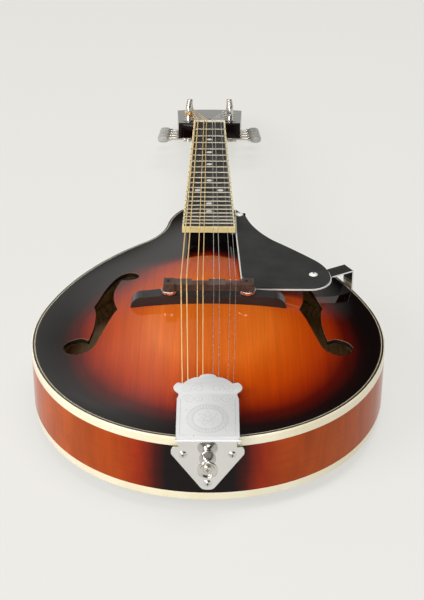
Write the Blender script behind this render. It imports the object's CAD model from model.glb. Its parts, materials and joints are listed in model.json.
import json
import math

import bmesh
import bpy
import numpy as np
from mathutils import Matrix, Vector
from mathutils.geometry import delaunay_2d_cdt

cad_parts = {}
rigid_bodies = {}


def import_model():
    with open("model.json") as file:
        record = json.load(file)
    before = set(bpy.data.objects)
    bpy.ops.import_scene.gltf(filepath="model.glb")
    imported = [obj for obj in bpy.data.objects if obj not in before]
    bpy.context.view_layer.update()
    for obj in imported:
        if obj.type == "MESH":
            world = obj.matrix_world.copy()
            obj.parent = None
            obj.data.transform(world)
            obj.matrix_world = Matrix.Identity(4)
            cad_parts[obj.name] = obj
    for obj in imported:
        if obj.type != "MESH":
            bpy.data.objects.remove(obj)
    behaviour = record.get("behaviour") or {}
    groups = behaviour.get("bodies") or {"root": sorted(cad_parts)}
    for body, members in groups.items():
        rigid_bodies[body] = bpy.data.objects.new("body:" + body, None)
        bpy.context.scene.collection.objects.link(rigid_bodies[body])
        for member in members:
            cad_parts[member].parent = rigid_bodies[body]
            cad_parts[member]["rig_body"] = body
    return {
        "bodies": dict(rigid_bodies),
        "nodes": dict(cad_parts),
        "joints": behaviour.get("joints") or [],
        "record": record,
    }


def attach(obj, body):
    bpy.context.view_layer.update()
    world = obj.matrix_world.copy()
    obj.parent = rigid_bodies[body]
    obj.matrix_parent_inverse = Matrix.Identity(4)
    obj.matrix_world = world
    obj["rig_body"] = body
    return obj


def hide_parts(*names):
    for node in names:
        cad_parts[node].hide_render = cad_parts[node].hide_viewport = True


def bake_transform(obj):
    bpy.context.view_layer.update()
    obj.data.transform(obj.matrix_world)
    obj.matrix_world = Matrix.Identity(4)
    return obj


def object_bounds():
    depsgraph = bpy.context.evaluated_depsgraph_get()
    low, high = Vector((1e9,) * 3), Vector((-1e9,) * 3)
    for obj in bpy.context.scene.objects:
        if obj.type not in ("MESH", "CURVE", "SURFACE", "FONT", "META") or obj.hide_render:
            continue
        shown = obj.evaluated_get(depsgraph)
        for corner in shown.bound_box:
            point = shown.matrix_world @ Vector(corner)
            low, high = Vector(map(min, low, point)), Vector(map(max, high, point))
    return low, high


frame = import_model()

CAD_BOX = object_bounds()
MM = 0.001
SCENE = bpy.context.scene


# ------------------------------------------------------------ places, in millimetres

TOP_Z, BACK_Z = 59.6, 10.0
CROWN_Y, TOP_ARCH, BACK_ARCH = -20.0, 13.5, 11.0
TAIL_Y = -157.3
BOARD_TILT, HEAD_TILT, TAIL_TILT = -3.3, -17.3, 6.4
HEAD_START = 356.0
NUT_FRONT, NUT_BACK = 353.2, 355.0
PLATE_Y = TAIL_Y - 1.15
PLATE_SCREWS = ((-16.0, 11.5), (16.0, 11.5), (0.0, 34.6))
BUTTON_DROP = 14.6
POST_X, FIRST_POST, POST_STEP = 20.0, 35.0, 23.5
WHEEL_X, WHEEL_Z, SADDLE_Z = 28.6, TOP_Z + 20.2, TOP_Z + 30.3
HOOK_V, HOOK_N = 17.3, 2.6


def tilted(origin, degrees):
    """A frame turned about X: (across, along, up) to the instrument's frame."""
    c, s = math.cos(math.radians(degrees)), math.sin(math.radians(degrees))
    return lambda x, v, n: (x, origin[0] + v * c - n * s, origin[1] + v * s + n * c)


def plain(x, y, z):
    return (x, y, z)


BOARD = tilted((0.0, TOP_Z + 27.0), BOARD_TILT)
HEAD = tilted((HEAD_START * math.cos(math.radians(BOARD_TILT)), TOP_Z + 3.0), HEAD_TILT)
TAIL = tilted((TAIL_Y, TOP_Z + 0.2), TAIL_TILT)


def at(x, y, z, frame=plain, way=1):
    return lambda a, b, c: frame(x + a, y + b, z + way * c)


def upright(x, depth, z):
    """Parts turned about an axis that points out of the tail end."""
    return lambda a, b, c: (x + a, depth - c, z + b)


# ------------------------------------------------------------ mesh helpers

class Shape:
    """Vertices and faces of one piece, gathered from several solids."""

    def __init__(self):
        self.verts, self.faces, self.marks = [], [], []

    def add(self, solid, mark=0, place=plain):
        verts, faces = solid
        start = len(self.verts)
        self.verts += [place(*v) for v in verts]
        self.faces += [[start + i for i in face] for face in faces]
        self.marks += [mark] * len(faces)
        return self


def mesh_of(name, shape, finishes, values=None):
    mesh = bpy.data.meshes.new(name)
    mesh.from_pydata([[c * MM for c in v] for v in shape.verts], [], shape.faces)
    for finish in finishes:
        mesh.materials.append(finish)
    mesh.polygons.foreach_set("material_index", shape.marks)
    for key, data in (values or {}).items():
        layer = mesh.attributes.new(key, "FLOAT", "POINT")
        layer.data.foreach_set("value", data)
    return mesh


def placed(name, mesh, slot, body=None):
    """The mesh as a visible object that rides on its body; a blended piece has none."""
    item = bpy.data.objects.new(name, mesh)
    SCENE.collection.objects.link(item)
    if body:
        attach(item, body)
    return item


def smooth(mesh):
    mesh.polygons.foreach_set("use_smooth", [True] * len(mesh.polygons))
    mesh.update()


def piece(name, body, slot, shape, finishes, sharp=35, normals=None, values=None):
    mesh = mesh_of(name, shape, finishes, values)
    if normals is None:
        work = bmesh.new()
        work.from_mesh(mesh)
        bmesh.ops.recalc_face_normals(work, faces=work.faces)
        work.to_mesh(mesh)
        work.free()
        smooth(mesh)
        mesh.set_sharp_from_angle(angle=math.radians(sharp))
    else:
        smooth(mesh)
        mesh.normals_split_custom_set_from_vertices(normals)
    return placed(name, mesh, slot, body)


def refined(node, slot, finish, bevel=0.0, sharp=30):
    """The CAD shape again with shared corners, smooth curves and softened edges."""
    source = frame["nodes"][node]
    work = bmesh.new()
    work.from_mesh(source.data)
    bmesh.ops.remove_doubles(work, verts=work.verts, dist=1e-6)
    bmesh.ops.dissolve_limit(work, angle_limit=math.radians(0.6), verts=work.verts,
                             edges=work.edges)
    mesh = bpy.data.meshes.new(node + "_finished")
    work.to_mesh(mesh)
    work.free()
    mesh.materials.append(finish)
    mesh.polygons.foreach_set("material_index", [0] * len(mesh.polygons))
    smooth(mesh)
    mesh.set_sharp_from_angle(angle=math.radians(sharp))
    item = placed(node + "_finished", mesh, slot, source["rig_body"])
    if bevel:
        soft = item.modifiers.new("soft_edges", "BEVEL")
        soft.width = bevel * MM
        soft.segments = 2
        soft.limit_method = "ANGLE"
        soft.angle_limit = math.radians(40)
        soft.harden_normals = True
    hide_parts(node)
    return item


def band(low, high):
    """Quads between two closed rings of vertex numbers."""
    count = len(low)
    return [[low[i], low[(i + 1) % count], high[(i + 1) % count], high[i]] for i in range(count)]


def ring(level, count):
    return list(range(level * count, (level + 1) * count))


def lathe(profile, segments=48, wave=None):
    """Turned solid about the third axis; wave(angle, index) trims a ring's radius."""
    verts, rings = [], []
    for k, (radius, height) in enumerate(profile):
        if radius == 0:
            rings.append([len(verts)])
            verts.append((0.0, 0.0, height))
            continue
        rings.append(list(range(len(verts), len(verts) + segments)))
        for i in range(segments):
            angle = 2 * math.pi * i / segments
            r = radius - (wave(angle, k) if wave else 0.0)
            verts.append((r * math.cos(angle), r * math.sin(angle), height))
    faces = []
    for low, high in zip(rings, rings[1:]):
        if len(low) == 1:
            faces += [[low[0], high[(i + 1) % segments], high[i]] for i in range(segments)]
        elif len(high) == 1:
            faces += [[low[i], low[(i + 1) % segments], high[0]] for i in range(segments)]
        else:
            faces += band(low, high)
    return verts, faces


def moved_in(points, distance):
    """A closed plan moved inwards along its corners' mean normals."""
    count = len(points)
    area = sum(points[i][0] * points[(i + 1) % count][1] - points[(i + 1) % count][0] * points[i][1]
               for i in range(count))
    sign = 1 if area > 0 else -1
    made = []
    for i in range(count):
        (ax, ay), (bx, by), (cx, cy) = points[i - 1], points[i], points[(i + 1) % count]
        before = Vector((bx - ax, by - ay)).normalized()
        after = Vector((cx - bx, cy - by)).normalized()
        n1, n2 = Vector((-before.y, before.x)), Vector((-after.y, after.x))
        mean = n1 + n2
        mean = mean / max(0.6, mean.length_squared / 2)
        made.append((bx + sign * distance * mean.x, by + sign * distance * mean.y))
    return made


def slab(plan, low, high, soft):
    """A plate from a closed plan, with rounded upper and lower edges."""
    steps = [(soft, low), (soft * 0.3, low + soft * 0.3), (0.0, low + soft), (0.0, high - soft),
             (soft * 0.3, high - soft * 0.3), (soft, high)]
    count = len(plan)
    verts, faces = [], []
    for distance, z in steps:
        verts += [(x, y, z) for x, y in (moved_in(plan, distance) if distance else plan)]
    for k in range(len(steps) - 1):
        faces += band(ring(k, count), ring(k + 1, count))
    faces += [ring(0, count)[::-1], ring(len(steps) - 1, count)]
    return verts, faces


def tube(path, radius, segments=10, closed=False):
    """Round tube along points; radius is a number or a function of the point's index."""
    points = [Vector(p) for p in path]
    count = len(points)
    verts, faces = [], []
    side = None
    for i, point in enumerate(points):
        before = points[i] - points[i - 1] if i or closed else points[1] - points[0]
        after = points[(i + 1) % count] - point if i < count - 1 or closed else before
        along = (before.normalized() + after.normalized()).normalized()
        if side is None:
            side = along.orthogonal().normalized()
        side = (side - along * side.dot(along)).normalized()
        up = along.cross(side)
        r = radius(i) if callable(radius) else radius
        for k in range(segments):
            a = 2 * math.pi * k / segments
            verts.append(tuple(point + (side * math.cos(a) + up * math.sin(a)) * r))
    for i in range(count if closed else count - 1):
        faces += band(ring(i, segments), ring((i + 1) % count, segments))
    if not closed:
        faces += [ring(0, segments)[::-1], ring(count - 1, segments)]
    return verts, faces


def block(x, y, z, soft=0.0):
    """A box between pairs of limits, with rounded upper and lower edges."""
    plan = [(x[0], y[0]), (x[1], y[0]), (x[1], y[1]), (x[0], y[1])]
    if soft:
        return slab(rounded(plan, soft), z[0], z[1], soft)
    return slab(plan, z[0], z[1], 0.01)


def rounded(points, radius, steps=4):
    """A closed plan with its corners rounded."""
    made = []
    count = len(points)
    for i in range(count):
        a, b, c = (Vector(points[i - 1]), Vector(points[i]), Vector(points[(i + 1) % count]))
        cut = min(radius, (a - b).length * 0.45, (c - b).length * 0.45)
        start, end = b + (a - b).normalized() * cut, b + (c - b).normalized() * cut
        for k in range(steps + 1):
            t = k / steps
            made.append(tuple(start * (1 - t) ** 2 + b * 2 * t * (1 - t) + end * t * t))
    return made


def curve_through(points, steps=10, closed=False):
    """Smooth run through points (Catmull-Rom)."""
    pts = [Vector(p) for p in points]
    if closed:
        pts = [pts[-1]] + pts + pts[:2]
    else:
        pts = [pts[0] * 2 - pts[1]] + pts + [pts[-1] * 2 - pts[-2]]
    made = []
    for a, b, c, d in zip(pts, pts[1:], pts[2:], pts[3:]):
        for k in range(steps):
            t = k / steps
            made.append(tuple(0.5 * ((b * 2) + (c - a) * t + (a * 2 - b * 5 + c * 4 - d) * t * t
                                     + (b * 3 - a - c * 3 + d) * t ** 3)))
    if not closed:
        made.append(tuple(pts[-2]))
    return made


# ------------------------------------------------------------ body outline and arches

ARCS = ((130.2, 18.2), (122.2, 37.6), (135.8, 50.3), (224.9, 33.2), (-51.5, 41.5), (58.9, 30.0))


def rim(inset=0.0, per_degree=0.8):
    """Body outline from the tail's middle round the treble side and back: x, y, heading."""
    x, y, heading = 0.0, TAIL_Y, 0.0
    half = []
    for radius, sweep in ARCS:
        turn = math.copysign(math.radians(sweep), radius)
        cx, cy = x - radius * math.sin(heading), y + radius * math.cos(heading)
        count = max(2, round(abs(sweep) * per_degree * abs(radius) / 60))
        for i in range(count):
            a = heading + turn * i / count
            half.append((cx + (radius - inset) * math.sin(a), cy - (radius - inset) * math.cos(a), a))
        heading += turn
        x, y = cx + radius * math.sin(heading), cy - radius * math.cos(heading)
    end_y = y - inset
    half = [(px, min(py, end_y), a) for px, py, a in half]
    corner = x - inset * math.sin(heading)
    for i in range(7):
        half.append((corner * (1 - i / 6), end_y, math.pi))
    left = [(-px, py, -a) for px, py, a in half[1:-1]]
    return half + left[::-1]


OUTLINE = rim()


def rim_rows():
    right = [(math.atan2(y - CROWN_Y, x), math.hypot(x, y - CROWN_Y)) for x, y, _ in OUTLINE
             if x >= -1e-6]
    right.sort()
    return np.array(right)


RIM = rim_rows()
SWING = [math.radians(2 * i) for i in range(-8, 9)]
SHARE = [math.cos(math.pi * i / 18) ** 2 for i in range(-8, 9)]


def arch(x, y):
    """Height of an arch as a share of its crown."""
    x, y = np.asarray(x, float), np.asarray(y, float)
    dy = y - CROWN_Y
    angle = np.arctan2(dy, np.abs(x))
    total = 0
    for turn, weight in zip(SWING, SHARE):
        a = angle + turn
        a = np.where(a > math.pi / 2, math.pi - a, np.where(a < -math.pi / 2, -math.pi - a, a))
        total = total + weight * np.interp(a, RIM[:, 0], RIM[:, 1])
    reach = total / sum(SHARE)
    return np.maximum(0.0, 1.0 - (np.hypot(x, dy) / reach) ** 2.4) ** 2


def arch_normals(x, y, crown):
    step = 0.5
    gx = crown * (arch(np.add(x, step), y) - arch(np.subtract(x, step), y)) / (2 * step)
    gy = crown * (arch(x, np.add(y, step)) - arch(x, np.subtract(y, step))) / (2 * step)
    n = np.stack([-gx, -gy, np.ones_like(gx)], 1)
    return n / np.linalg.norm(n, axis=1)[:, None]


def inside(points, loop):
    """Which points lie inside a closed loop."""
    px, py = points[:, 0][:, None], points[:, 1][:, None]
    ax, ay = loop[:, 0][None], loop[:, 1][None]
    bx, by = np.roll(loop[:, 0], -1)[None], np.roll(loop[:, 1], -1)[None]
    cross = (ay > py) != (by > py)
    rise = np.where(by == ay, 1e-9, by - ay)
    return (cross & (px < (bx - ax) * (py - ay) / rise + ax)).sum(1) % 2 == 1


def rim_distance(x, y):
    """Distance to the body's edge."""
    a = np.array([p[:2] for p in OUTLINE])
    b = np.roll(a, -1, 0)
    p = np.stack([x, y], 1)[:, None]
    ab = b - a
    t = np.clip(((p - a) * ab).sum(2) / np.maximum((ab * ab).sum(1), 1e-9), 0, 1)
    return np.linalg.norm(p - (a + t[..., None] * ab), axis=2).min(1)


# ------------------------------------------------------------ materials

class Nodes:
    """A node tree, with short calls for the nodes used here."""

    def __init__(self, tree):
        self.tree = tree

    def node(self, kind, **settings):
        made = self.tree.nodes.new("ShaderNode" + kind)
        for key, value in settings.items():
            setattr(made, key, value)
        return made

    def put(self, socket, value):
        if isinstance(value, bpy.types.NodeSocket):
            self.tree.links.new(value, socket)
        else:
            socket.default_value = value

    def place(self, scale=(1, 1, 1)):
        coord = self.node("TexCoord")
        mapping = self.node("Mapping")
        mapping.inputs["Scale"].default_value = scale
        self.put(mapping.inputs["Vector"], coord.outputs["Object"])
        return mapping.outputs[0]

    def noise(self, where, scale, detail=4.0, rough=0.55, swirl=0.0):
        made = self.node("TexNoise")
        self.put(made.inputs["Vector"], where)
        made.inputs["Scale"].default_value = scale
        made.inputs["Detail"].default_value = detail
        made.inputs["Roughness"].default_value = rough
        made.inputs["Distortion"].default_value = swirl
        return made.outputs["Fac"]

    def value(self, name):
        return self.node("Attribute", attribute_name=name).outputs["Fac"]

    def sum(self, operation, a, b=0.0, c=0.0):
        made = self.node("Math", operation=operation)
        for socket, value in zip(made.inputs, (a, b, c)):
            self.put(socket, value)
        return made.outputs[0]

    def spread(self, value, low, high, to_low=0.0, to_high=1.0):
        made = self.node("MapRange", clamp=True)
        for key, number in (("From Min", low), ("From Max", high), ("To Min", to_low),
                            ("To Max", to_high)):
            made.inputs[key].default_value = number
        self.put(made.inputs["Value"], value)
        return made.outputs["Result"]

    def ramp(self, value, stops, between):
        made = self.node("ValToRGB")
        made.color_ramp.interpolation = between
        cells = made.color_ramp.elements
        for k, (at, colour) in enumerate(stops):
            cell = cells[k] if k < 2 else cells.new(at)
            cell.position = at
            cell.color = (*colour, 1.0)
        self.put(made.inputs["Fac"], value)
        return made.outputs["Color"]

    def mix(self, share, a, b, blend="MIX"):
        made = self.node("Mix", data_type="RGBA", blend_type=blend)
        self.put(made.inputs[0], share)
        for index, colour in ((6, a), (7, b)):
            if isinstance(colour, tuple):
                colour = (*colour, 1.0)
            self.put(made.inputs[index], colour)
        return made.outputs[2]


class Tree(Nodes):
    """A material made of one shader and the nodes that feed it."""

    def __init__(self, name):
        self.material = bpy.data.materials.new(name)
        self.material.use_nodes = True
        super().__init__(self.material.node_tree)
        self.tree.nodes.clear()
        out = self.node("OutputMaterial")
        self.shader = self.node("BsdfPrincipled")
        self.put(out.inputs[0], self.shader.outputs[0])

    def bump(self, height, strength, distance=0.0002):
        made = self.node("Bump")
        made.inputs["Strength"].default_value = strength
        made.inputs["Distance"].default_value = distance
        self.put(made.inputs["Height"], height)
        self.put(self.shader.inputs["Normal"], made.outputs[0])

    def set(self, **values):
        for key, value in values.items():
            if isinstance(value, tuple):
                value = (*value, 1.0)
            self.put(self.shader.inputs[key.replace("_", " ")], value)


def wear(tree, base, spread=0.12, scale=60.0):
    """Slight uneven tone over a colour."""
    patch = tree.noise(tree.place(), scale, detail=3.0)
    dark = tuple(c * (1 - spread) for c in base)
    light = tuple(min(1.0, c * (1 + spread)) for c in base)
    return tree.ramp(patch, [(0.3, dark), (0.7, light)], "LINEAR")


BURST_WIDTH = 110.0
BURST = [(0.12, (0.0040, 0.0012, 0.0012)), (0.18, (0.0110, 0.0014, 0.0010)),
         (0.27, (0.088, 0.0030, 0.0006)), (0.355, (0.285, 0.0190, 0.0004)),
         (0.45, (0.440, 0.0430, 0.0006)), (0.56, (0.540, 0.0680, 0.0010)),
         (0.66, (0.630, 0.0980, 0.0040)), (0.76, (0.730, 0.1440, 0.0100))]


def lacquered(t, stain, tone, ior, coat_rough=0.035, weight=1.0):
    """Colour times tone under a clear coat with a faintly uneven surface."""
    shade = t.node("CombineColor")
    for socket in shade.inputs[:3]:
        t.put(socket, tone)
    t.set(Base_Color=t.mix(1.0, stain, shade.outputs[0], "MULTIPLY"), Roughness=0.42,
          Coat_Weight=weight, Coat_Roughness=coat_rough, Coat_IOR=ior, Specular_IOR_Level=0.0)
    t.bump(t.noise(t.place(), 50.0, detail=2.0), 0.05, 0.0005)
    return t.material


def axes(t):
    """Place on the object in millimetres, as separate numbers."""
    split = t.node("SeparateXYZ")
    t.put(split.inputs[0], t.place((1000, 1000, 1000)))
    return split.outputs


def spruce_top():
    """Sunburst by the distance from the rim, black again next to the fretboard's end."""
    t = Tree("sunburst_spruce")
    x, y, _ = axes(t)
    uneven = t.sum("MULTIPLY_ADD", t.noise(t.place(), 14.0, detail=2.0), 8.0, -4.0)
    wider = t.sum("ADD", t.spread(y, -120.0, 40.0, 8.0, -7.0), t.spread(x, -50.0, 50.0, -4.0, 1.0))
    middle = t.spread(t.sum("ABSOLUTE", x), 25.0, 62.0, 1.0, 0.0)
    board_end = t.sum("MULTIPLY", middle, t.spread(y, 64.0, 102.0, 0.0, -40.0))
    edge = t.sum("ADD", t.sum("ADD", t.value("rim_distance"), board_end), t.sum("ADD", uneven, wider))
    burst = t.ramp(t.spread(edge, 0.0, BURST_WIDTH), BURST, "LINEAR")
    grain_place = t.place((1.0, 0.012, 0.2))
    lines = t.noise(grain_place, 900.0, detail=3.0, rough=0.6, swirl=0.15)
    wide = t.noise(grain_place, 160.0, detail=2.0)
    tone = t.sum("MULTIPLY", t.spread(lines, 0.3, 0.7, 0.88, 1.08), t.spread(wide, 0.3, 0.7, 0.92, 1.06))
    return lacquered(t, burst, tone, 1.42)


def flamed_maple(name, share_of, stops, along):
    """Stained maple, figured up and along one axis; share_of(tree) says where it darkens."""
    t = Tree(name)
    stain = t.ramp(share_of(t), stops, "LINEAR")
    scale = [18.0, 18.0, 3.0]
    scale[along] = 5.0
    flame = t.noise(t.place(tuple(scale)), 5.0, detail=3.0, swirl=0.8)
    grain = t.noise(t.place((6.0, 6.0, 60.0)), 8.0)
    tone = t.sum("MULTIPLY", t.spread(flame, 0.35, 0.65, 0.84, 1.12), t.spread(grain, 0.3, 0.7, 0.94, 1.05))
    return lacquered(t, stain, tone, 1.30, 0.05, 0.8)


def rib_maple():
    """Black where the ribs meet at the tail and at the heel, red-brown between them."""
    def share_of(t):
        x, y, _ = axes(t)
        tail = t.spread(y, -60.0, 60.0, 0.0, 200.0)
        heel = t.spread(y, 120.0, 170.0, 1.0, 0.15)
        uneven = t.sum("MULTIPLY_ADD", t.noise(t.place(), 30.0), 8.0, -4.0)
        across = t.sum("ABSOLUTE", t.sum("ADD", x, 5.0))
        away = t.sum("ADD", t.sum("ADD", across, tail), uneven)
        return t.sum("MULTIPLY", t.spread(away, 15.0, 90.0), heel)
    return flamed_maple("stained_maple_ribs", share_of,
                        [(0.10, (0.0045, 0.0015, 0.0015)), (0.19, (0.050, 0.0025, 0.0010)),
                         (0.34, (0.300, 0.0200, 0.0006)), (0.52, (0.385, 0.0480, 0.0010)),
                         (1.0, (0.435, 0.0720, 0.0030))], 0)


def back_maple():
    def share_of(t):
        return t.spread(t.value("rim_distance"), 0.0, BURST_WIDTH)
    return flamed_maple("sunburst_maple_back", share_of, BURST, 0)


def neck_maple():
    def share_of(t):
        along = axes(t)[1]
        return t.sum("MULTIPLY", t.spread(along, 176.0, 225.0), t.spread(along, 350.0, 312.0))
    return flamed_maple("stained_maple_neck", share_of,
                        [(0.05, (0.005, 0.0015, 0.0015)), (0.4, (0.10, 0.006, 0.0015)),
                         (0.8, (0.33, 0.032, 0.0012)), (1.0, (0.40, 0.048, 0.0020))], 1)


def bare_wood(name, base, dark):
    t = Tree(name)
    fibres = t.noise(t.place((1.0, 0.03, 1.0)), 420.0, detail=4.0)
    tone = t.ramp(fibres, [(0.3, dark), (0.7, base)], "LINEAR")
    t.set(Base_Color=tone, Roughness=t.spread(fibres, 0.3, 0.7, 0.62, 0.78))
    t.bump(fibres, 0.25, 0.0001)
    return t.material


def plastic(name, base, rough=0.3, coat=0.0, spread=0.06, scale=60.0, level=0.3):
    t = Tree(name)
    t.set(Base_Color=wear(t, base, spread, scale), Coat_Weight=coat, Coat_Roughness=0.05,
          Coat_IOR=1.45, Specular_IOR_Level=level)
    mark = t.noise(t.place(), 220.0, detail=3.0)
    t.set(Roughness=t.spread(mark, 0.3, 0.7, rough * 0.85, rough * 1.15))
    t.bump(mark, 0.04, 0.0001)
    return t.material


def metal(name, base, rough=0.2, brush=(1, 1, 1), amount=0.25, tint=0.05, metallic=1.0):
    t = Tree(name)
    scratch = t.noise(t.place(brush), 500.0, detail=4.0, rough=0.7)
    cloud = t.noise(t.place(), 40.0, detail=2.0)
    dark = tuple(c * (1 - tint) for c in base)
    t.set(Base_Color=t.ramp(cloud, [(0.3, dark), (0.7, base)], "LINEAR"), Metallic=metallic,
          Roughness=t.spread(scratch, 0.3, 0.7, rough * (1 - amount), rough * (1 + amount)))
    t.bump(scratch, 0.06, 0.00005)
    return t.material


def rosewood(name, base, dark, rough=0.4):
    t = Tree(name)
    streak = t.noise(t.place((1.0, 0.05, 1.0)), 240.0, detail=5.0, rough=0.6, swirl=0.6)
    pores = t.noise(t.place((1.0, 0.07, 1.0)), 1500.0, detail=2.0)
    tone = t.ramp(streak, [(0.3, dark), (0.7, base)], "LINEAR")
    t.set(Base_Color=t.mix(t.spread(pores, 0.60, 0.68, 0.0, 0.7), tone, tuple(c * 0.4 for c in dark)),
          Roughness=t.spread(streak, 0.3, 0.7, rough * 0.85, rough * 1.15), Specular_IOR_Level=0.3)
    t.bump(t.sum("ADD", t.spread(pores, 0.60, 0.68, 0.0, -1.0), t.sum("MULTIPLY", streak, 0.3)),
           0.3, 0.0001)
    return t.material


def hole_wall():
    """Black lacquer run into the cut, with a line of bare spruce at its upper edge."""
    t = Tree("lacquered_hole_wall")
    grain = t.noise(t.place((1.0, 0.03, 1.0)), 420.0, detail=4.0)
    edge = t.sum("MULTIPLY_ADD", grain, 0.06, t.value("depth"))
    t.set(Base_Color=t.ramp(edge, [(0.0, (0.50, 0.30, 0.14)), (0.13, (0.34, 0.17, 0.07)),
                                   (0.17, (0.010, 0.006, 0.005)), (1.0, (0.016, 0.011, 0.009))], "LINEAR"),
          Roughness=t.spread(grain, 0.3, 0.7, 0.40, 0.55), Specular_IOR_Level=0.3)
    t.bump(grain, 0.1, 0.0001)
    return t.material


def purfling_lines():
    t = Tree("purfling_lines")
    across = t.value("across")
    tone = t.ramp(across, [(0.0, (0.004, 0.003, 0.003)), (0.36, (0.72, 0.60, 0.38)),
                           (0.64, (0.004, 0.003, 0.003))], "CONSTANT")
    grime = t.noise(t.place(), 120.0)
    t.set(Base_Color=t.mix(t.spread(grime, 0.35, 0.75, 0.0, 0.2), tone, (0.05, 0.03, 0.02)),
          Roughness=0.35, Coat_Weight=1.0, Coat_Roughness=0.04)
    return t.material


def cream_plastic(name, dark, light):
    t = Tree(name)
    patch = t.noise(t.place(), 18.0, detail=3.0)
    fine = t.noise(t.place((1, 1, 0.2)), 300.0, detail=3.0)
    tone = t.ramp(patch, [(0.3, dark), (0.7, light)], "LINEAR")
    t.set(Base_Color=t.mix(t.spread(fine, 0.55, 0.8, 0.0, 0.15), tone, (0.60, 0.46, 0.26)),
          Roughness=0.3, Coat_Weight=1.0, Coat_Roughness=0.05, Specular_IOR_Level=0.2)
    t.bump(fine, 0.03, 0.0001)
    return t.material


def wound_string():
    t = Tree("bronze_windings")
    turn = t.sum("SINE", t.sum("MULTIPLY", t.value("along"), 2 * math.pi / WINDING_PITCH))
    t.set(Base_Color=t.ramp(t.spread(turn, -1.0, 1.0), [(0.0, (0.80, 0.46, 0.14)),
                                                        (0.6, (1.0, 0.74, 0.32))], "LINEAR"),
          Metallic=0.25, Roughness=0.32)
    t.bump(turn, 0.4, 0.0001)
    return t.material


WINDING_PITCH = 0.42
FINISH = {
    "top": spruce_top(),
    "ribs": rib_maple(),
    "back": back_maple(),
    "neck": neck_maple(),
    "inner": bare_wood("bare_maple_inside", (0.84, 0.66, 0.40), (0.60, 0.44, 0.24)),
    "cut_edge": hole_wall(),
    "cream": cream_plastic("aged_cream_binding", (0.84, 0.74, 0.50), (0.94, 0.88, 0.68)),
    "board_cream": cream_plastic("yellowed_board_binding", (0.95, 0.76, 0.33), (1.0, 0.86, 0.44)),
    "purfling": purfling_lines(),
    "board": rosewood("fretboard_rosewood", (0.022, 0.017, 0.014), (0.009, 0.007, 0.005), 0.50),
    "saddle": rosewood("saddle_rosewood", (0.100, 0.062, 0.048), (0.050, 0.029, 0.021), 0.36),
    "bridge": plastic("bridge_black_lacquer", (0.024, 0.022, 0.022), 0.34, coat=0.4, spread=0.2),
    "black": plastic("headstock_black_lacquer", (0.006, 0.006, 0.006), 0.25, 0.62, 0.2, level=0.0),
    "guard": plastic("guard_black", (0.044, 0.044, 0.043), 0.2, coat=1.0, spread=0.15, level=0.0),
    "white": plastic("guard_white", (0.86, 0.85, 0.80), 0.3, coat=0.5),
    "bone": plastic("nut_bone", (0.82, 0.76, 0.60), 0.35, spread=0.08, scale=300.0),
    "pearl": plastic("marker_pearl", (0.78, 0.78, 0.74), 0.22, coat=1.0, spread=0.18, scale=700.0),
    "button": plastic("tuner_button_grey", (0.43, 0.42, 0.385), 0.34, coat=0.3, spread=0.16,
                      scale=160.0),
    "nickel": metal("polished_nickel", (0.78, 0.77, 0.75), 0.10),
    "button_nickel": metal("turned_button_nickel", (0.66, 0.64, 0.60), 0.2),
    "cover": metal("satin_nickel_cover", (0.84, 0.84, 0.84), 0.30, (1, 0.4, 1), 0.1, metallic=0.25),
    "engraved": metal("engraved_lines", (0.36, 0.36, 0.35), 0.42, metallic=0.3),
    "frets": metal("fret_nickel", (0.42, 0.39, 0.31), 0.32, brush=(0.05, 1, 1)),
    "copper": metal("thumbwheel_nickel", (0.74, 0.58, 0.54), 0.20),
    "steel": metal("screw_steel", (0.72, 0.71, 0.69), 0.24),
    "tuner": metal("tuner_nickel", (0.66, 0.62, 0.56), 0.26),
    "plain": metal("plain_steel_string", (0.78, 0.77, 0.75), 0.25, tint=0.02),
    "bronze": wound_string(),
    "winding": metal("bronze_winding_end", (0.92, 0.62, 0.26), 0.30),
    "dark": plastic("dark_slot", (0.008, 0.008, 0.008), 0.6),
}


# ------------------------------------------------------------ soundbox

F_RUNS = (
    ((84.9, -43.3), (91.2, -39.2), (99.4, -41.4), (102.8, -48.0), (99.8, -55.4), (93.4, -59.4),
     (86.2, -58.2), (80.9, -53.0), (77.2, -41.5), (73.3, -26.5), (70.0, -14.0), (66.6, -4.0)),
    ((66.6, -4.0), (69.6, 8.0), (70.9, 22.0), (69.6, 34.0), (66.6, 46.0)),
    ((66.6, 46.0), (60.8, 44.6), (55.0, 45.6), (53.2, 51.2), (56.4, 57.2), (61.8, 59.4),
     (67.4, 55.8), (72.6, 47.0), (77.8, 32.0), (81.9, 14.5), (84.6, 5.0)),
    ((84.6, 5.0), (82.7, -5.0), (82.1, -18.0), (82.9, -31.0), (84.9, -43.3)),
)


def f_loop(side):
    """One sound hole; its runs meet at the lobes' ends and at the two notches."""
    loop = []
    for run in F_RUNS:
        loop += curve_through([(*p, 0.0) for p in run], 7)[:-1]
    return [(side * x, y) for x, y, _ in loop]


def within(points, loops):
    """Which points lie on a plate: inside its first loop and in none of its holes."""
    kept = inside(points, np.array(loops[0]))
    for hole in loops[1:]:
        kept &= ~inside(points, np.array(hole))
    return kept


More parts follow.
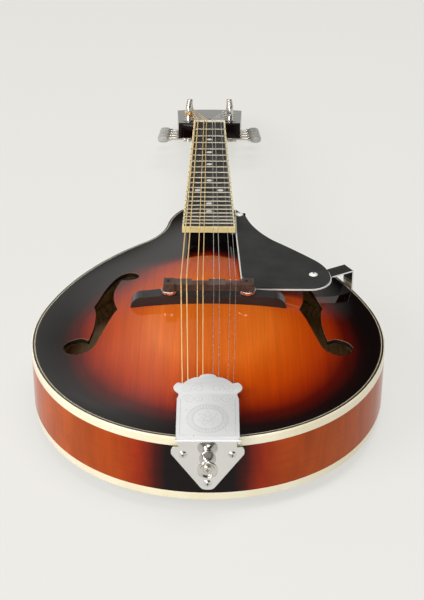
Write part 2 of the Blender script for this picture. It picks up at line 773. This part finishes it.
def plan_mesh(loops, step=3.2, clear=1.3):
    """Triangles between the loops, over a staggered grid that stays clear of them."""
    points, edges = [], []
    for loop in loops:
        start = len(points)
        points += loop
        edges += [(start + i, start + (i + 1) % len(loop)) for i in range(len(loop))]
    rows = np.arange(-165, 185, step * 0.866)
    grid = np.array([(x + (step / 2 if k % 2 else 0), y) for k, y in enumerate(rows)
                     for x in np.arange(-134, 134, step)])
    grid = grid[within(grid, loops)]
    walls = np.array(points)
    near = np.array([np.hypot(*(walls - p).T).min() for p in grid])
    corners = [Vector(p) for p in points] + [Vector(p) for p in grid[near > clear]]
    verts, _, faces = delaunay_2d_cdt(corners, edges, [], 0, 1e-6)[:3]
    flat = np.array([(v.x, v.y) for v in verts])
    middle = np.array([flat[list(f)].mean(0) for f in faces])
    return flat, [list(f) for f, kept in zip(faces, within(middle, loops)) if kept]


def outward(loop, is_hole):
    """Normals of a wall, out of the plate, and whether the loop runs anticlockwise round it."""
    ahead, behind = np.roll(loop, -1, 0), np.roll(loop, 1, 0)
    tangent = (ahead - behind) / np.linalg.norm(ahead - behind, axis=1)[:, None]
    area = (loop[:, 0] * ahead[:, 1] - ahead[:, 0] * loop[:, 1]).sum()
    sign = math.copysign(1, area) * (-1 if is_hole else 1)
    return np.stack([tangent[:, 1] * sign, -tangent[:, 0] * sign, np.zeros(len(loop))], 1), sign


def plate_mesh(name, level, crown, thick, inset, holes, finishes, slot, lowest=-math.inf):
    """An arched plate: outer face, inner face, and walls round its rim and holes."""
    loops = [[(x, y) for x, y, _ in rim(inset)]] + holes
    flat, faces = plan_mesh(loops)
    way = 1 if crown > 0 else -1

    def sides(plan):
        """The outer and the inner corners over a plan."""
        z = np.maximum(level + crown * arch(*plan.T), lowest)
        return np.column_stack([plan, z]), np.column_stack([plan, z - way * thick])
    outer, inner = sides(flat)
    slope = arch_normals(*flat.T, crown)
    slope[outer[:, 2] <= lowest] = (0, 0, 1)
    shape = Shape()
    shape.add((outer.tolist(), [f[::way] for f in faces]), 0)
    shape.add((inner.tolist(), [f[::-way] for f in faces]), 1)
    normals = [slope * way, slope * -way]
    distances = [rim_distance(*flat.T)] * 2
    depths = [np.zeros(2 * len(flat))]
    for k, loop in enumerate(loops):
        loop, size = np.array(loop), len(loop)
        out, sign = outward(loop, k > 0)
        quads = [q[::-1] if sign == way else q for q in band(ring(0, size), ring(1, size))]
        shape.add((np.concatenate(sides(loop)).tolist(), quads), 2 if k else 1)
        normals += [out, out]
        distances += [rim_distance(*loop.T)] * 2
        depths += [np.zeros(size), np.ones(size)]
    return piece(name, "instrument", slot, shape, finishes, normals=np.concatenate(normals).tolist(),
                 values={"rim_distance": np.concatenate(distances), "depth": np.concatenate(depths)})


def rounded_corner(level, way):
    """Rounded outer corner of a binding, from the side of the ribs to the plate's edge."""
    radius = 1.5
    turns = [math.radians(degrees) for degrees in (0.0, 22.5, 45.0, 67.5, 90.0)]
    return [(round(radius - radius * math.cos(a), 2),
             level - way * round(radius - radius * math.sin(a), 2)) for a in turns]


def rim_ring(name, slot, profile, finish, follow=None, marks=None, values=None, sharp=35):
    """A closed profile of (inset, height) swept round the outline."""
    rows = [rim(inset) for inset, _ in profile]
    around = len(rows[0])
    verts = []
    for (inset, z), row in zip(profile, rows):
        x, y = np.array([p[0] for p in row]), np.array([p[1] for p in row])
        lift = follow * arch(x, y) if follow else np.zeros(around)
        verts += np.column_stack([x, y, z + lift]).tolist()
    faces, kinds = [], []
    count = len(profile)
    for k in range(count):
        faces += band(ring(k, around), ring((k + 1) % count, around))
        kinds += [marks[k] if marks else 0] * around
    shape = Shape()
    shape.add((verts, faces))
    shape.marks = kinds
    data = {key: np.repeat(value, around) for key, value in (values or {}).items()}
    return piece(name, "instrument", slot, shape, finish, sharp=sharp, values=data)


def soundbox():
    holes = [f_loop(1), f_loop(-1)]
    top = plate_mesh("arched_top", TOP_Z, TOP_ARCH, 3.5, 3.3, holes,
                     [FINISH["top"], FINISH["inner"], FINISH["cut_edge"]], "top_lacquered_spruce")
    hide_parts("top_plate")
    back = plate_mesh("arched_back", BACK_Z, -BACK_ARCH, 3.0, 1.7, [],
                      [FINISH["back"], FINISH["inner"]], "body_lacquered_maple", lowest=0.0)
    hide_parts("back_plate")
    lines = rim_ring("edge_purfling", "black_purfling",
                     [(1.7, TOP_Z - 1.0), (1.7, TOP_Z)]
                     + [(1.7 + 1.6 * s, TOP_Z) for s in (0.34, 0.36, 0.63, 0.65, 1.0)]
                     + [(3.3, TOP_Z - 1.0)],
                     [FINISH["purfling"]], follow=TOP_ARCH,
                     values={"across": [0, 0, 0.34, 0.37, 0.63, 0.66, 1.0, 1.0]})
    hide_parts("top_purfling")
    binding = rim_ring("upper_binding", "cream_binding",
                       [(0.0, TOP_Z - 6.5)] + rounded_corner(TOP_Z, 1) + [(1.7, TOP_Z), (1.7, TOP_Z - 6.5)],
                       [FINISH["cream"], FINISH["purfling"]], marks=[0, 0, 0, 0, 1, 1, 0, 0])
    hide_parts("top_binding")
    lower = rim_ring("lower_binding", "cream_binding",
                     [(0.0, BACK_Z + 6.5), (1.7, BACK_Z + 6.5), (1.7, BACK_Z)]
                     + rounded_corner(BACK_Z, -1)[::-1],
                     [FINISH["cream"]])
    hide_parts("back_binding")
    ribs = rim_ring("bent_ribs", "body_lacquered_maple",
                    [(0.0, BACK_Z + 6.5), (0.0, TOP_Z - 6.5), (1.7, TOP_Z - 6.5),
                     (1.7, TOP_Z - 3.5), (2.5, TOP_Z - 3.5), (2.5, BACK_Z + 3.0),
                     (1.7, BACK_Z + 3.0), (1.7, BACK_Z + 6.5)],
                    [FINISH["ribs"], FINISH["inner"]], marks=[0, 1, 1, 1, 1, 1, 1, 1])
    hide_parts("rib_treble", "rib_bass")


def lining(name, node, wide, full, narrow):
    """Kerfed strip: a row of small blocks inside the ribs, tapered away from the plate."""
    rows = [np.array([p[:2] for p in rim(inset, 2.0)]) for inset in (2.6, 8.2, 4.6)]
    run = np.concatenate([[0.0], np.cumsum(np.linalg.norm(np.diff(rows[1], axis=0), axis=1))])
    shape = Shape()
    for start in np.arange(0.0, run[-1] - 6.0, 6.0):
        cuts = np.interp([start, start + 5.2], run, np.arange(len(run)))
        far, near, slim = [[np.array([np.interp(c, np.arange(len(run)), row[:, i]) for i in (0, 1)])
                            for c in cuts] for row in rows]
        middle = (far[0] + near[1]) / 2
        if (abs(middle[0]) < 28.5 and middle[1] > 145) or (abs(middle[0]) < 34 and middle[1] < -130):
            continue
        plans = [(far, near, wide), (far, near, full), (far, slim, narrow)]
        verts = [(*p, z) for outer, inner, z in plans for p in (outer[0], outer[1], inner[1], inner[0])]
        faces = [[4 * k + i, 4 * k + (i + 1) % 4, 4 * k + 4 + (i + 1) % 4, 4 * k + 4 + i]
                 for k in (0, 1) for i in range(4)]
        shape.add((verts, faces + [[3, 2, 1, 0], [8, 9, 10, 11]]))
    made = piece(name, "instrument", "bare_inner_wood", shape, [FINISH["inner"]])
    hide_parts(node)


soundbox()
lining("upper_kerfing", "top_lining", 55.9, 51.0, 47.1)
lining("lower_kerfing", "back_lining", 13.2, 18.0, 22.0)


# ------------------------------------------------------------ neck, board, headstock

for node, slot, finish, bevel in (
        ("neck", "neck_lacquered_maple", "neck", 0.6),
        ("headstock_veneer", "black_lacquer", "black", 0.35),
        ("fretboard", "dark_rosewood", "board", 0.0),
        ("fretboard_binding", "cream_binding", "board_cream", 0.2),
        ("frets", "fret_nickel", "frets", 0.0),
        ("fret_markers", "pearl", "pearl", 0.0),
        ("nut", "bone", "bone", 0.0),
        ("fretboard_riser", "black_lacquer", "black", 0.3),
        ("truss_rod_cover", "black_plastic", "black", 0.3),
        ("bridge_base", "black_lacquer", "bridge", 0.5),
        ("bridge_saddle", "dark_rosewood", "saddle", 0.25),
        ("tailpiece_base", "polished_nickel", "nickel", 0.2),
        ("pickguard_edge", "white_plastic", "white", 0.12),
        ("pickguard", "black_plastic", "guard", 0.2),
        ("pickguard_bracket", "polished_nickel", "nickel", 0.15),
        ("tuner_plate_bass", "tuner_nickel", "tuner", 0.15),
        ("tuner_plate_treble", "tuner_nickel", "tuner", 0.15),
        ("tuner_bushings", "tuner_nickel", "tuner", 0.1),
        ("truss_rod_nut", "steel", "steel", 0.2)):
    refined(node, slot, FINISH[finish], bevel)

for node, finish in (("truss_rod", "steel"), ("neck_block", "inner"), ("tail_block", "inner"),
                     ("tone_bars", "inner"),
                     ("bridge_studs", "steel"), ("small_screws", "steel"),
                     ("tailpiece_screws", "steel"), ("pickguard_screws", "white")):
    mesh = frame["nodes"][node].data
    if not mesh.materials:
        mesh.materials.append(FINISH[finish])
    for index in range(len(mesh.materials)):
        mesh.materials[index] = FINISH[finish]


# ------------------------------------------------------------ tuners

SIDE = {-1: "bass", 1: "treble"}
GEAR_TEETH = 15
WORM_LENGTH, WORM_PITCH, WORM_STEPS = 7.0, 2.18, 56
# name, string radius, and for both strings: x at the saddle, nut and hooks; then side and first post
COURSES = (
    ("g", 0.48, (-20.05, -15.95), (-13.25, -10.75), (-16.3, -12.6), (-1, 0)),
    ("d", 0.33, (-8.05, -3.95), (-5.25, -2.75), (-6.9, -3.2), (-1, 2)),
    ("a", 0.21, (3.95, 8.05), (2.75, 5.25), (3.2, 6.9), (1, 2)),
    ("e", 0.15, (15.95, 20.05), (10.75, 13.25), (12.6, 16.3), (1, 0)),
)


def at_post(side, k):
    return at(side * POST_X, FIRST_POST + POST_STEP * k, 0.0, HEAD)


def tooth(angle, level):
    """How far the gear is cut below its teeth's tips: flat roots, sloped flanks, sharp tips."""
    share = (angle * GEAR_TEETH / (2 * math.pi) - 0.35) % 1.0
    return 0.9 * float(np.interp(share, (0, 0.28, 0.40, 0.70, 1.0), (1, 1, 0, 0, 1)))


def thread(angle, level):
    """How far the worm is cut below its crest, one ring after another."""
    along = (level - WORM_STEPS / 2) * WORM_LENGTH / WORM_STEPS
    ridge = 0.5 + 0.5 * math.cos(angle - 2 * math.pi * along / WORM_PITCH)
    return 0.58 * (1.0 - min(1.0, 1.6 * ridge))


def post(side, k):
    """Post, gear and gear screw, and the end of the string wound on the post."""
    name = f"tuner_post_{SIDE[side]}_{k + 1}"
    place = at_post(side, k)
    shape = Shape()
    shape.add(lathe([(0, -19.3), (2.9, -19.3), (3.0, -19.0), (3.0, 4.1), (2.75, 4.6), (2.62, 5.4),
                     (2.62, 6.2), (2.8, 7.0), (3.0, 7.6), (3.0, 14.4), (2.6, 15.2), (1.6, 15.5),
                     (0, 15.5)], 28), 0, place)
    shape.add(lathe([(0, -20.0), (5.0, -20.0), (5.2, -19.8), (5.2, -16.8), (5.0, -16.5), (0, -16.5)],
                    8 * GEAR_TEETH, tooth), 0, place)
    shape.add(lathe([(0, -20.6), (1.6, -20.6), (1.9, -20.3), (1.9, -20.0), (0, -19.9)], 20), 0, place)
    made = piece(name + "_turned", name, "tuner_nickel", shape, [FINISH["tuner"]])
    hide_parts(name)
    course, radius = next((c[0], c[1]) for c in COURSES
                          if c[5][0] == side and k in (c[5][1], c[5][1] + 1))
    wound = course in "gd"
    turns = 3.5 if wound else 5.0
    start = math.pi if side > 0 else 0.0
    away = 2.72 + radius
    coil = []
    for i in range(int(turns * 20) + 1):
        a = 2 * math.pi * i / 20
        coil.append(place(away * math.cos(start - side * a), away * math.sin(start - side * a),
                          4.9 + a / (2 * math.pi) * 2.1 * radius))
    piece(f"{name}_winding", name, "wound_bronze" if wound else "plain_steel",
          Shape().add(tube(coil, radius, 8)), [FINISH["winding"] if wound else FINISH["plain"]])


def button_solid(rows=16, around=32):
    """A rounded box with a slight waist towards its shaft, within one unit each way."""
    verts, faces = [(0, 0, -1)], []
    for i in range(1, rows):
        lat = -math.pi / 2 + math.pi * i / rows
        c, s = math.cos(lat), math.sin(lat)
        for j in range(around):
            lon = 2 * math.pi * j / around
            waist = 1.0 - 0.10 * math.cos(lon) ** 2 * max(0.0, -s)
            x = math.copysign(abs(c * math.cos(lon)) ** 0.72, math.cos(lon)) * waist
            y = math.copysign(abs(c * math.sin(lon)) ** 0.80, math.sin(lon)) * 0.97
            verts.append((x, y, math.copysign(abs(s) ** 0.70, s)))
    verts.append((0, 0, 1))
    rings = [[1 + i * around + j for j in range(around)] for i in range(rows - 1)]
    for j in range(around):
        m = (j + 1) % around
        faces.append([0, rings[0][m], rings[0][j]])
        faces.append([len(verts) - 1, rings[-1][j], rings[-1][m]])
    for low, high in zip(rings, rings[1:]):
        faces += band(low, high)
    return verts, faces


def key(side, k):
    """Shaft, worm, collar and button, along the line that points out of the headstock's side."""
    name = f"tuner_key_{SIDE[side]}_{k + 1}"

    def place(x, y, z):
        return HEAD(side * (POST_X + z), FIRST_POST + POST_STEP * k + 7.6 + side * x, -18.2 + y)

    def button(a, b, c):
        return place(a * 7.0, b * 4.0, 25.2 + c * 5.5)
    shape = Shape()
    shape.add(lathe([(0, -6.7), (1.3, -6.7), (1.5, -6.4), (1.5, 19.0), (0, 19.0)], 20), 0, place)
    rings = [(2.2, (i - WORM_STEPS / 2) * WORM_LENGTH / WORM_STEPS) for i in range(WORM_STEPS + 1)]
    verts, faces = lathe(rings, 24, thread)
    shape.add((verts, faces + [ring(0, 24)[::-1], ring(WORM_STEPS, 24)]), 0, place)
    shape.add(lathe([(0, 17.7), (2.2, 17.7), (2.7, 18.1), (2.7, 18.9), (2.35, 19.4), (2.6, 19.9),
                     (2.6, 20.9), (2.1, 21.6), (0, 21.7)], 28), 0, place)
    shape.add(button_solid(), 1, button)
    made = piece(name + "_turned", name, "tuner_nickel", shape, [FINISH["tuner"], FINISH["button"]])
    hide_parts(name)


for side in (-1, 1):
    for number in range(4):
        post(side, number)
        key(side, number)


# ------------------------------------------------------------ bridge wheels

def knurl(angle, level):
    return 0.26 * (0.5 + 0.5 * math.cos(36 * angle)) if level in (2, 3, 4) else 0.0


def wheel(side):
    name = f"thumbwheel_{SIDE[side]}"

    def place(x, y, z):
        return (side * WHEEL_X + x, y, WHEEL_Z + z)
    shape = Shape().add(lathe([(1.65, 0.0), (5.6, 0.0), (6.2, 0.45), (6.2, 1.3), (6.2, 2.15), (5.6, 2.6),
                               (4.6, 2.6), (4.4, 2.42), (3.0, 2.42), (2.8, 2.6), (1.65, 2.6),
                               (1.65, 0.0)], 216, knurl), 0, place)
    made = piece(name + "_knurled", name, "polished_nickel", shape, [FINISH["copper"]])
    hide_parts(name)


wheel(-1)
wheel(1)


# ------------------------------------------------------------ tailpiece cover

def cover_plan():
    half, ear = 20.5, 22.85
    right = [(half, -7.0), (half, 8.0), (half, 31.5)]
    for run in (((half, 31.5), (half - 1.0, 36.5), (ear - 0.6, 40.4), (ear, 44.4), (ear - 2.6, 48.2),
                 (ear - 6.2, 47.4)),
                ((ear - 6.2, 47.4), (13.4, 51.0), (9.4, 53.6), (6.2, 54.0)),
                ((6.2, 54.0), (5.0, 56.0), (2.8, 57.1), (0, 57.6))):
        right += [p[:2] for p in curve_through([(*p, 0) for p in run], 6)[1:]]
    return right + [(-x, y) for x, y in right[:-1]][::-1]


def spiral(x, v, size, turn, flip):
    path = []
    for i in range(26):
        t = i / 25
        a = turn + flip * t * 3.0 * math.pi
        r = size * (1 - t) ** 0.8 + 0.25
        path.append((x + r * math.cos(a), v + r * math.sin(a)))
    return path


def engraving():
    """Oval garland of leaves with a flower inside it, corner scrolls and border lines."""
    paths = []
    for width, height in ((13.6, 14.2), (9.8, 10.2)):
        paths.append([(width * math.sin(a), 11.5 - height * math.cos(a))
                      for a in np.linspace(0, 2 * math.pi, 40)])
    for a in np.linspace(0, 2 * math.pi, 36, endpoint=False):
        for lean in (-0.13, 0.13):
            paths.append([((9.8 + 3.4 * t) * math.sin(a + lean * math.sin(math.pi * t)),
                           11.5 - (10.2 + 3.6 * t) * math.cos(a + lean * math.sin(math.pi * t)))
                          for t in (0, 0.33, 0.66, 1)])
    for a in np.linspace(0, 2 * math.pi, 7, endpoint=False):
        paths.append([(r * math.sin(a + w), 11.5 + r * math.cos(a + w))
                      for r, w in ((1.6, 0), (4.4, 0.34), (7.6, 0), (4.4, -0.34), (1.6, 0))])
    for side in (-1, 1):
        paths += [[(side * x, v) for x, v in spiral(*p)]
                  for p in ((12.6, 31.0, 4.0, 0.2, 1), (5.4, 31.5, 3.6, 2.6, -1),
                            (6.6, 42.0, 4.4, -0.8, 1), (14.0, 41.0, 3.2, 2.0, -1))]
        paths.append([(side * 18.0, v) for v in np.linspace(-4.6, 31.0, 8)])
    paths.append([(x, -4.6) for x in np.linspace(-18.0, 18.0, 8)])
    return paths


def tail_cover():
    high = 7.3
    shape = Shape()
    shape.add(slab(cover_plan(), high - 0.9, high, 0.28), 0, TAIL)
    for side in (-1, 1):
        x = sorted((side * 20.5, side * 19.6))
        shape.add(block(x, (-7.0, 31.0), (1.5, high - 0.45), 0.25), 0, TAIL)
    shape.add(block((-20.5, 20.5), (-7.0, -6.1), (3.9, high - 0.45), 0.25), 0, TAIL)
    shape.add(tube([TAIL(x, -7.0, 4.3) for x in np.linspace(-21.05, 21.05, 12)], 0.75, 16))
    made = piece("cover_sheet", "cover", "polished_nickel", shape, [FINISH["cover"]])
    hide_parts("tailpiece_cover")
    lines = Shape()
    for path in engraving():
        curve = curve_through([(x, v, 0.0) for x, v in path], 2)
        lines.add(tube([TAIL(x, v, high - 0.075) for x, v, _ in curve], 0.11, 5))
    piece("cover_engraving", "cover", "polished_nickel", lines, [FINISH["engraved"]])


tail_cover()


def strap_button():
    """Turned button with a dished flange and the screw's domed head in its middle."""
    shape = Shape()
    place = upright(0.0, PLATE_Y, TOP_Z - BUTTON_DROP)
    shape.add(lathe([(0, 0.0), (5.5, 0.0), (5.45, 0.7), (5.0, 1.5), (3.9, 4.0), (3.45, 6.0), (3.6, 8.2),
                     (4.8, 10.2), (6.2, 11.3), (6.7, 12.1), (6.7, 12.8), (6.3, 13.35), (5.7, 13.45),
                     (5.2, 13.2), (4.6, 12.5), (3.9, 12.15), (0, 12.1)], 72), 0, place)
    shape.add(lathe([(0, 12.0), (3.0, 12.0), (3.0, 12.5), (2.6, 12.9), (1.6, 13.2), (0, 13.3)], 40), 1,
              place)
    shape.add(lathe([(0, 0.0), (2.0, 0.0), (2.0, -15.9), (0, -15.9)], 24), 1, place)
    made = piece("strap_button_turned", "instrument", "polished_nickel", shape,
                 [FINISH["button_nickel"], FINISH["tuner"]])
    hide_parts("strap_button")


strap_button()


# ------------------------------------------------------------ screw recesses

def recess(shape, place, reach, width):
    """A dark cross sunk in a screw's head; place(a, b, c) has c out of the head's top."""
    for a, b in ((reach, width), (width, reach)):
        shape.add(block((-a, a), (-b, b), (-0.3, 0.03), 0.02), 0, place)


def recesses():
    """Crosses of the tailpiece, button, guard, bracket, truss cover and tuner plate screws."""
    shape = Shape()
    for x, drop in PLATE_SCREWS:
        recess(shape, upright(x, PLATE_Y - 1.4, TOP_Z - drop), 1.1, 0.22)
    recess(shape, upright(0.0, PLATE_Y - 13.25, TOP_Z - BUTTON_DROP), 1.3, 0.28)
    for x, y in ((79.1, 35.9), (24.6, 137.7)):
        recess(shape, at(x, y, TOP_Z + 16.9), 1.1, 0.22)
    cos, sin = math.cos(math.radians(30.0)), math.sin(math.radians(30.0))
    recess(shape, lambda a, b, c: (106.0 + (3.5 + c) * cos - a * sin, 50.6 + (3.5 + c) * sin + a * cos,
                                   TOP_Z - 10.5 + b), 0.9, 0.2)
    for x, v in ((-8.2, 8.0), (8.2, 8.0), (0.0, 37.4)):
        recess(shape, at(x, v, 2.3, HEAD), 0.8, 0.16)
    for side in (-1, 1):
        for spot in (-8.0, 15.6, 39.1, 62.6, 86.5):
            x = side * (POST_X - (5.2 if spot > 0 else 0.0))
            recess(shape, at(x, FIRST_POST - 0.2 + spot, -16.6, HEAD, -1), 1.2, 0.22)
    piece("screw_recesses", "instrument", "black_plastic", shape, [FINISH["dark"]])


recesses()


# ------------------------------------------------------------ strings

def evenly(route, spacing):
    """Evenly spaced points along straight runs."""
    made = []
    for a, b in zip(route, route[1:]):
        a, b = Vector(a), Vector(b)
        count = max(2, int((b - a).length / spacing))
        made += [a + (b - a) * i / count for i in range(count)]
    made.append(Vector(route[-1]))
    return made


def string_run(name, route, radius, finish, slot, fixed):
    """A stretch between the fixed end and the saddle's crest, bent as the saddle moves."""
    points = evenly(route, 9.0)
    segments = 10 if radius > 0.3 else 8
    along = [0.0]
    for a, b in zip(points, points[1:]):
        along.append(along[-1] + (b - a).length)
    mesh = mesh_of(name, Shape().add(tube(points, radius, segments)), [finish],
                   {"along": np.repeat(along, segments)})
    smooth(mesh)
    made = placed(name, mesh, slot)
    crest = route[-1] if fixed == route[0] else route[0]
    [c * MM for c in fixed]
    [c * MM for c in crest]
    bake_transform(made)
    return made


# the saddle's steps: from x, to x, and where the crest lies along Y
STEPS = ((-25.0, -12.2, 1.3), (-12.2, 0.0, -1.2), (0.0, 12.2, 1.3), (12.2, 25.0, -1.4))


def strings():
    gap = 0.04
    for name, radius, at_saddle, at_nut, at_hook, (side, first) in COURSES:
        wound = name in "gd"
        finish = FINISH["bronze"] if wound else FINISH["plain"]
        slot = "wound_bronze" if wound else "plain_steel"
        for i in range(2):
            label = f"string_{name}{i + 1}"
            hook = TAIL(at_hook[i], HOOK_V + 1.2 + radius, HOOK_N)
            crest_y = next(c for _, end, c in STEPS if at_saddle[i] <= end)
            crest = (at_saddle[i], crest_y, SADDLE_Z + radius + gap)
            up = 1.2 + radius + gap
            front, behind = BOARD(at_nut[i], NUT_FRONT, up), BOARD(at_nut[i], NUT_BACK, up)
            number = first + (i if side < 0 else 1 - i)
            end = HEAD(side * (POST_X - 3.0 - radius - 0.3), FIRST_POST + POST_STEP * number, 5.0)
            string_run(label + "_tail", [hook, crest], radius, finish, slot, hook)
            string_run(label, [crest, front, behind, end], radius, finish, slot, front)
            bend = 1.0 + radius
            loop = [TAIL(at_hook[i] + bend * math.cos(a), HOOK_V + bend * math.sin(a), HOOK_N)
                    for a in np.linspace(0, 2 * math.pi, 20, endpoint=False)]
            piece(label + "_loop", "instrument", slot,
                  Shape().add(tube(loop, min(radius, 0.22), 6, closed=True)),
                  [FINISH["winding"] if wound else FINISH["plain"]])
        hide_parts(f"strings_{name}")


strings()


# ------------------------------------------------------------ camera, floor and light

EYE = (1.289, -926.143, 601.40)
PITCH, YAW, ROLL = (math.radians(a) for a in (29.703, 0.0832, 0.2429))


def camera():
    data = bpy.data.cameras.new("camera")
    data.sensor_width = 36.0
    data.lens = 87.15
    data.clip_end = 50.0
    item = bpy.data.objects.new("camera", data)
    SCENE.collection.objects.link(item)
    turn = Matrix.Rotation(YAW, 3, "Z")
    lean = Matrix.Rotation(-ROLL, 3, "Z")
    rows = Matrix(((1, 0, 0), (0, math.sin(PITCH), math.cos(PITCH)),
                   (0, math.cos(PITCH), -math.sin(PITCH))))
    right, up, ahead = lean @ rows @ turn
    looks = Matrix((right, up, -ahead)).transposed().to_4x4()
    item.matrix_world = Matrix.Translation([c * MM for c in EYE]) @ looks
    SCENE.camera = item


def floor():
    size = 6.0
    mesh = bpy.data.meshes.new("floor")
    low = CAD_BOX[0][2] - 0.0002
    mesh.from_pydata([(-size, -size, low), (size, -size, low), (size, size, low), (-size, size, low)],
                     [], [(0, 1, 2, 3)])
    item = bpy.data.objects.new("floor", mesh)
    SCENE.collection.objects.link(item)
    t = Tree("pale_floor")
    t.set(Base_Color=wear(t, (0.20, 0.198, 0.189), 0.01, 3.0), Roughness=0.9,
          Emission_Color=(1.0, 0.99, 0.945), Emission_Strength=0.64, Specular_IOR_Level=0.0)
    mesh.materials.append(t.material)


def area(name, place, target, size, power, tone=(1, 1, 1)):
    data = bpy.data.lights.new(name, "AREA")
    data.shape = "RECTANGLE"
    data.size, data.size_y = size
    data.energy = power
    data.color = tone
    item = bpy.data.objects.new(name, data)
    SCENE.collection.objects.link(item)
    item.location = place
    item.rotation_euler = (Vector(target) - Vector(place)).to_track_quat("-Z", "Y").to_euler()


def world():
    """Pale round the horizon, greyer overhead, and darker high up towards the treble side."""
    sky = bpy.data.worlds.new("studio")
    SCENE.world = sky
    sky.use_nodes = True
    t = Nodes(sky.node_tree)
    split = t.node("SeparateXYZ")
    t.put(split.inputs[0], t.node("TexCoord").outputs["Generated"])
    by_height = [(at, (grey, grey * 0.99, grey * 0.955)) for at, grey in
                 ((0.0, 0.84), (0.22, 0.66), (0.42, 0.44), (0.50, 0.46), (0.62, 0.80), (0.75, 0.75),
                  (0.90, 0.40), (1.0, 0.40))]
    by_side = [(at, (grey, grey, grey)) for at, grey in
               ((0.0, 0.40), (0.22, 0.75), (0.36, 1.30), (0.42, 0.80), (0.48, 0.25), (0.56, 0.12),
                (0.64, 0.06), (1.0, 0.04))]
    side = t.ramp(t.sum("ADD", split.outputs["X"], 0.5), by_side, "LINEAR")
    above = t.spread(split.outputs["Z"], 0.26, 0.42)
    tone = t.mix(1.0, t.ramp(split.outputs["Z"], by_height, "LINEAR"),
                 t.mix(above, (1.0, 1.0, 1.0), side), "MULTIPLY")
    t.put(sky.node_tree.nodes["Background"].inputs["Color"], tone)


camera()
floor()
world()
area("key", (-1.6, -1.3, 1.5), (0, 0, 0.05), (1.2, 1.0), 32.0)
area("overhead", (0.3, -0.3, 2.2), (0, 0, 0.05), (1.4, 1.0), 22.0)
area("front", (-0.6, -2.2, 0.9), (0, 0, 0.04), (0.7, 0.6), 8.0)
SCENE.view_settings.view_transform = "Standard"
